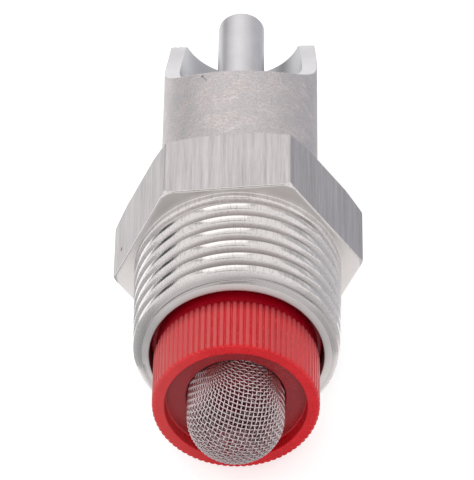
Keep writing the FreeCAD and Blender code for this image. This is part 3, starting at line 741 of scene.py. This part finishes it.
def rib_recipe(material):
    """Presses the grooves between the ribs into the grip: rounded crests and narrow valleys."""
    recipe = Recipe("ribbed_grip", RIB_SIZES)
    ask = recipe.entry.outputs
    position = recipe.add("GeometryNodeInputPosition")
    parts = recipe.add("ShaderNodeSeparateXYZ", {0: position}).node
    angle = recipe.math("ARCTAN2", parts.outputs["X"], parts.outputs["Z"])
    turn = recipe.math("MULTIPLY", recipe.math("DIVIDE", angle, math.tau), ask["Ribs"])
    away = recipe.math("ABSOLUTE", recipe.math("SUBTRACT", recipe.math("FRACT", turn), 0.5))
    into = recipe.math("DIVIDE", recipe.math("MULTIPLY", away, 2.0), ask["Valley Width"])
    wave = recipe.math("COSINE", recipe.math("MULTIPLY", recipe.math("MINIMUM", into, 1.0), math.pi))
    valley = recipe.math("MULTIPLY", recipe.math("ADD", wave, 1.0), 0.5)
    depth = recipe.math("MULTIPLY", valley, ask["Groove Depth"])
    grip = recipe.add("GeometryNodeInputNamedAttribute", {"Name": "grip"}, data_type="FLOAT")
    depth = recipe.math("MULTIPLY", depth, grip)
    flat = recipe.add("ShaderNodeCombineXYZ", {"X": parts.outputs["X"], "Z": parts.outputs["Z"]})
    outwards = recipe.add("ShaderNodeVectorMath", {0: flat}, operation="NORMALIZE")
    shift = recipe.add("ShaderNodeVectorMath", {0: outwards}, operation="SCALE").node
    recipe.tree.links.new(recipe.math("MULTIPLY", depth, -1.0), shift.inputs["Scale"])
    pressed = recipe.add("GeometryNodeSetPosition", {
        "Geometry": ask["Geometry"], "Offset": shift.outputs[0]})
    recipe.end(pressed, material)
    return recipe


plug_red = red_plastic("plug_red")
plug = rib_recipe(plug_red).make("ribbed_plug", plug_blank(plug_red), RIB_SIZES)
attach(plug, "drinker")
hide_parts("filter_plug")


# Strainer
# A disc of plain woven stainless wire, pressed to a thimble and clamped by its flange under the flow disc.
# The cloth can't stretch, so its squares slant to diamonds on the sides.
CLOTH_RADIUS, KNUCKLE, CROWN, KNUCKLE_Y = 4.68, 3.86, 5.26, -21.66
KNUCKLE_RING = CLOTH_RADIUS - KNUCKLE
CROWN_DROP = math.sqrt((CROWN - KNUCKLE) ** 2 - KNUCKLE_RING**2)
MESH_WIRE, MESH_PITCH, WEAVE_LIFT = 0.073, 0.44, 0.95
CLOTH_TURN = math.radians(21)
SKIRT_Y, SKIRT_START, SKIRT_RADIUS, SKIRT_BORE = -16.0, -16.2, 4.72, 4.5
FLANGE_RADIUS, FLANGE_TOP = 6.1, -12.5


def thimble(reach):
    """Point of the thimble's profile at an arc length from the nose: (radius, y)."""
    lean = math.asin(KNUCKLE_RING / (CROWN - KNUCKLE))
    crown_run, knuckle_run = CROWN * lean, KNUCKLE * (math.pi / 2 - lean)
    on_crown = np.clip(reach, 0, crown_run) / CROWN
    on_knuckle = np.clip(reach - crown_run, 0, knuckle_run) / KNUCKLE + lean
    straight = np.maximum(reach - crown_run - knuckle_run, 0)
    crown_radius, crown_depth = CROWN * np.sin(on_crown), CROWN_DROP - CROWN * np.cos(on_crown)
    radius = np.where(reach < crown_run, crown_radius, KNUCKLE_RING + KNUCKLE * np.sin(on_knuckle))
    depth = np.where(reach < crown_run, crown_depth, -KNUCKLE * np.cos(on_knuckle))
    return radius, KNUCKLE_Y + depth + straight


def on_thimble(points):
    """The nearest points of the thimble, and its outward directions there."""
    radius = np.maximum(np.hypot(points[..., 0], points[..., 2]), 1e-6)
    y = points[..., 1] - KNUCKLE_Y
    along_crown = np.stack([radius, y - CROWN_DROP], -1)
    crown_out = along_crown / np.linalg.norm(along_crown, axis=-1, keepdims=True)
    along_knuckle = np.stack([radius - KNUCKLE_RING, y], -1)
    knuckle_out = along_knuckle / np.maximum(np.linalg.norm(along_knuckle, axis=-1, keepdims=True), 1e-6)
    is_crown = crown_out[..., 0] < KNUCKLE_RING / (CROWN - KNUCKLE)
    is_side = (y > 0) & ~is_crown
    out = np.where(is_crown[..., None], crown_out, knuckle_out)
    out = np.where(is_side[..., None], np.array([1.0, 0.0]), out)
    base = np.where(is_crown[..., None], np.array([0, CROWN_DROP]) + crown_out * CROWN,
                    np.array([KNUCKLE_RING, 0]) + knuckle_out * KNUCKLE)
    base = np.where(is_side[..., None], np.stack([np.full_like(y, CLOTH_RADIUS), y], -1), base)
    turn = np.stack([points[..., 0] / radius, points[..., 2] / radius], -1)
    place = np.stack([turn[..., 0] * base[..., 0], base[..., 1] + KNUCKLE_Y, turn[..., 1] * base[..., 0]], -1)
    normal = np.stack([turn[..., 0] * out[..., 0], out[..., 1], turn[..., 1] * out[..., 0]], -1)
    return place, normal


def next_crossing(first, second, corner):
    """The crossing one pitch from two others on the thimble, across from the corner between them."""
    point = first + second - corner
    for _ in range(40):
        shift = np.zeros(3)
        for anchor in (first, second):
            gap = point - anchor
            shift += gap * (MESH_PITCH / max(float(np.linalg.norm(gap)), 1e-6) - 1)
        point = on_thimble((point + shift * 0.9)[None])[0][0]
    return point


def laid_cloth(half=31):
    """Crossings of the weave on the thimble. Two threads cross square at the nose and run straight back.

    Every other crossing lies one pitch from its neighbours, so the cloth only slants and doesn't stretch.
    """
    quarter = np.zeros((half + 1, half + 1, 3))
    for k in range(half + 1):
        radius, y = thimble(k * MESH_PITCH)
        quarter[k, 0] = (radius, y, 0)
        quarter[0, k] = (0, y, radius)
    for i in range(1, half + 1):
        for j in range(1, half + 1):
            quarter[i, j] = next_crossing(quarter[i - 1, j], quarter[i, j - 1], quarter[i - 1, j - 1])
    index = np.abs(np.arange(-half, half + 1))
    place = quarter[np.ix_(index, index)].copy()
    place[:half, :, 0] *= -1
    place[:, :half, 2] *= -1
    cos, sin = math.cos(CLOTH_TURN), math.sin(CLOTH_TURN)
    x, z = place[..., 0].copy(), place[..., 2].copy()
    place[..., 0], place[..., 2] = x * cos + z * sin, z * cos - x * sin
    return place


def smooth_run(points, steps):
    """Catmull-Rom points between the crossings of one thread."""
    padded = np.concatenate([2 * points[:1] - points[1:2], points, 2 * points[-1:] - points[-2:-1]])
    share = (np.arange(steps) / steps)[None, :, None]
    a, b, c, d = (padded[k:len(padded) - 3 + k, None, :] for k in range(4))
    run = 0.5 * (2 * b + (c - a) * share + (2 * a - 5 * b + 4 * c - d) * share**2
                 + (3 * b - a - 3 * c + d) * share**3)
    return run.reshape(-1, 3)


def woven_threads(steps=4):
    """Middle lines of all the wires, over and under in turn, down to the skirt inside the plug."""
    place = laid_cloth()
    lines = []
    for direction in (0, 1):
        net = place if direction == 0 else place.transpose(1, 0, 2)
        for index in range(net.shape[0]):
            run = smooth_run(net[index], steps)
            foot, out = on_thimble(run)
            phase = np.arange(len(run)) / steps
            lift = np.cos(math.pi * phase) * (-1) ** (index + direction) * MESH_WIRE * WEAVE_LIFT
            line = foot + out * lift[:, None]
            inside = foot[:, 1] < SKIRT_Y
            cuts = np.flatnonzero(np.diff(inside.astype(int))) + 1
            for piece, shown in zip(np.split(line, cuts), np.split(inside, cuts)):
                if shown[0] and len(piece) > 3:
                    lines.append(piece)
    return lines


# The wires' pink tint is a painted reflection of the red plug round them.
red_reflection_mesh_steel = wire_steel("mesh_wire_steel", (0.82, 0.7, 0.71), 0.38)
cloth = wire_recipe("woven_wire", red_reflection_mesh_steel, 5).make(
    "woven_strainer", chains("wire_paths", woven_threads()), {"Wire Radius": MESH_WIRE * MM})
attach(cloth, "drinker")
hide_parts("strainer")
skirt = lathe("strainer_flange", [
    (SKIRT_START, SKIRT_BORE, 0.05), (SKIRT_START, SKIRT_RADIUS, 0.05),
    (POCKET_Y - 0.05, SKIRT_RADIUS, 0.05), (POCKET_Y, FLANGE_RADIUS, 0.08), (FLANGE_TOP, FLANGE_RADIUS, 0.08),
    (FLANGE_TOP, SKIRT_BORE, 0.08),
], turned_steel("flange_steel", (0.55, 0.54, 0.53), 0.35, 0.2), 96)
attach(skirt, "drinker")
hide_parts("strainer")


# Studio
# White table and white surroundings with three soft lamps. A bright panel above the far end, with a dark slit
# at each side, and grey cards round the part show only in reflections. The camera is a long lens above the
# inlet end.
CAMERA_PLACE = (0.034481, -0.357772, 0.314120)
CAMERA_AIM = (-0.071998, 0.753804, -0.653143)
CAMERA_UP = (0.067053, 0.657019, 0.750886)
LENS, SENSOR = 354.39, 36.0
FLOOR_Z, CARD_LIFT = -0.01105, 0.0005
TABLE_GLOW, ROOM_LIGHT = 0.5, 0.62


def seen_white(shader):
    """1 for rays from the camera, off a gloss or through glass, and 0 for the rest."""
    rays = shader.add("LightPath", output="Is Camera Ray").node
    both = shader.math("MAXIMUM", rays.outputs["Is Camera Ray"], rays.outputs["Is Glossy Ray"])
    return shader.math("MAXIMUM", both, rays.outputs["Is Transmission Ray"])


def flat_sheet(name, corners, material):
    """A flat four-sided piece of the studio."""
    mesh = bpy.data.meshes.new(name)
    mesh.from_pydata(corners, [], [tuple(range(len(corners)))])
    mesh.materials.append(material)
    obj = bpy.data.objects.new(name, mesh)
    bpy.context.scene.collection.objects.link(obj)
    return obj


def table(reach=6.0):
    """A pale table top. It keeps the part's shadow, and its own glow lifts the rest to white."""
    top = Shader("table_white", Roughness=0.8)
    top.surface.inputs["Base Color"].default_value = (0.8, 0.8, 0.8, 1)
    top.surface.inputs["Emission Color"].default_value = (1, 1, 1, 1)
    top.finish(Emission_Strength=top.math("MULTIPLY", seen_white(top), TABLE_GLOW))
    flat_sheet("table_top", [(-reach, -reach, FLOOR_Z), (reach, -reach, FLOOR_Z), (reach, reach, FLOOR_Z),
                             (-reach, reach, FLOOR_Z)], top.material)


def card(name, level, colour, corners):
    """A card or panel of that brightness, which shows only in reflections."""
    paint = bpy.data.materials.new(name)
    paint.use_nodes = True
    nodes = paint.node_tree.nodes
    nodes.remove(nodes["Principled BSDF"])
    glow = nodes.new("ShaderNodeEmission")
    glow.inputs["Color"].default_value = (*colour, 1)
    glow.inputs["Strength"].default_value = level
    paint.node_tree.links.new(glow.outputs[0], nodes["Material Output"].inputs["Surface"])
    obj = flat_sheet(name, corners, paint)
    obj.visible_camera = obj.visible_diffuse = obj.visible_shadow = obj.visible_transmission = False


def upright_card(name, level, colour, distance, turn, climb):
    """A card seen from the part between two bearings from +Y and two heights, all in degrees."""
    corners = []
    for side, edge in ((0, 0), (1, 0), (1, 1), (0, 1)):
        bearing, height = math.radians(turn[side]), math.radians(climb[edge])
        direction = (math.sin(bearing), math.cos(bearing), math.tan(height))
        corners.append([distance * v for v in direction])
    card(name, level, colour, corners)


def lying_card(name, level, colour, across, along):
    """A card that lies on the table beside the part, between two places in X and two in Y."""
    z = FLOOR_Z + CARD_LIFT
    card(name, level, colour, [(across[0], along[0], z), (across[1], along[0], z), (across[1], along[1], z),
                               (across[0], along[1], z)])


def surroundings():
    """White to the camera, in reflections and through glass, and softer as a light."""
    world = bpy.data.worlds.new("white_room")
    bpy.context.scene.world = world
    world.use_nodes = True
    nodes, links = world.node_tree.nodes, world.node_tree.links
    back = nodes["Background"]
    back.inputs["Color"].default_value = (1, 1, 1, 1)
    rays = nodes.new("ShaderNodeLightPath")
    seen = nodes.new("ShaderNodeMath")
    seen.operation = "MAXIMUM"
    links.new(rays.outputs["Is Camera Ray"], seen.inputs[0])
    links.new(rays.outputs["Is Glossy Ray"], seen.inputs[1])
    through = nodes.new("ShaderNodeMath")
    through.operation = "MAXIMUM"
    links.new(seen.outputs[0], through.inputs[0])
    links.new(rays.outputs["Is Transmission Ray"], through.inputs[1])
    level = nodes.new("ShaderNodeMapRange")
    level.inputs["To Min"].default_value = ROOM_LIGHT
    level.inputs["To Max"].default_value = 1.0
    links.new(through.outputs[0], level.inputs["Value"])
    links.new(level.outputs["Result"], back.inputs["Strength"])


def lamp(name, place, target, size, power):
    """A soft box that lights the plastics and leaves no mirror image in the steel."""
    light = bpy.data.lights.new(name, "AREA")
    light.shape = "RECTANGLE"
    light.size, light.size_y = size
    light.energy = power
    obj = bpy.data.objects.new(name, light)
    obj.location = place
    direction = np.array(target) - np.array(place)
    obj.rotation_euler = Vector(direction).to_track_quat("-Z", "Y").to_euler()
    obj.visible_glossy = False
    bpy.context.scene.collection.objects.link(obj)


def photograph_camera():
    """A long lens on the photograph's line of sight."""
    lens = bpy.data.cameras.new("long_lens")
    lens.lens, lens.sensor_fit, lens.sensor_height = LENS, "VERTICAL", SENSOR
    lens.clip_start, lens.clip_end = 0.01, 50
    obj = bpy.data.objects.new("long_lens", lens)
    aim, up = Vector(CAMERA_AIM).normalized(), Vector(CAMERA_UP).normalized()
    right = aim.cross(up).normalized()
    turn = Matrix((right, right.cross(aim), -aim)).transposed().to_4x4()
    obj.matrix_world = Matrix.Translation(CAMERA_PLACE) @ turn
    bpy.context.scene.collection.objects.link(obj)
    bpy.context.scene.camera = obj


table()
surroundings()
upright_card("panel_behind", 1.6, (1.0, 0.99, 0.98), 0.6, (-28, 15), (30, 43))
upright_card("slit_left", 0.3, (1.0, 1.0, 1.0), 0.58, (-32, -28), (24, 43))
upright_card("slit_right", 0.3, (1.0, 1.0, 1.0), 0.58, (15, 18), (24, 43))
upright_card("dark_card_left", 0.1, (0.9, 0.97, 1.0), 0.55, (-60, -29), (0, 16))
upright_card("grey_card_right", 0.6, (0.97, 0.98, 1.0), 0.55, (20, 100), (2, 20))
upright_card("camera_stand", 0.42, (1.0, 0.95, 0.92), 0.4, (158, 202), (37, 60))
lying_card("lying_card_left", 0.4, (0.95, 0.98, 1.0), (-0.5, -0.07), (0.07, 0.6))
lying_card("lying_card_right", 0.62, (0.89, 0.92, 1.0), (0.013, 0.3), (0.004, 0.4))
lying_card("lying_card_front_right", 0.75, (0.99, 0.99, 1.0), (0.018, 0.3), (-0.2, 0.003))
lying_card("lying_card_front", 0.4, (1.0, 1.0, 1.0), (-0.018, 0.018), (-0.34, -0.021))
lying_card("lying_card_front_left", 0.62, (0.97, 0.98, 1.0), (-0.3, -0.018), (-0.2, 0.012))
lamp("soft_box_behind", (-0.03, 0.40, 0.33), (0, -0.006, 0.01), (0.34, 0.12), 0.4)
lamp("soft_left", (-0.45, -0.1, 0.35), (0, 0, 0), (0.3, 0.3), 0.25)
lamp("soft_front", (0.05, -0.45, 0.38), (0, -0.015, 0), (0.3, 0.3), 1.25)
photograph_camera()
bpy.context.scene.view_settings.view_transform = "Standard"
